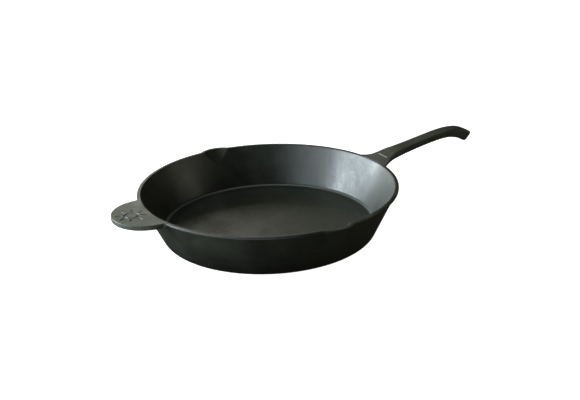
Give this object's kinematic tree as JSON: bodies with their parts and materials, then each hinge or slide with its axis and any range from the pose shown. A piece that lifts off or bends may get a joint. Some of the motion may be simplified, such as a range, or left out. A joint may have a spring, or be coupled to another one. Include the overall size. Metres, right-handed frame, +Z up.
{
  "type": "cast iron skillet",
  "caption": "Round cast iron frying pan with sloping walls, side pour spouts, a rounded helper handle and a long rising handle with a hooked end.",
  "frame": {"origin": "centre of the foot ring, on the surface that the pan stands on", "axes": "+Z up out of the pan, +X along the long handle, and the helper handle on the -X side"},
  "size_m": [0.4736, 0.3136, 0.0791],
  "materials": {
    "seasoned_iron": "oil-seasoned black, satin",
    "cooking_face": "smooth seasoned black with an olive tint"
  },
  "bodies": {
    "root": {"pan_floor": "cooking_face", "base_corner": "seasoned_iron", "side_wall": "seasoned_iron", "pour_spout_rear": "seasoned_iron", "pour_spout_front": "seasoned_iron", "handle_root": "seasoned_iron", "long_handle": "seasoned_iron", "helper_handle": "seasoned_iron"}
  },
  "joints": []
}
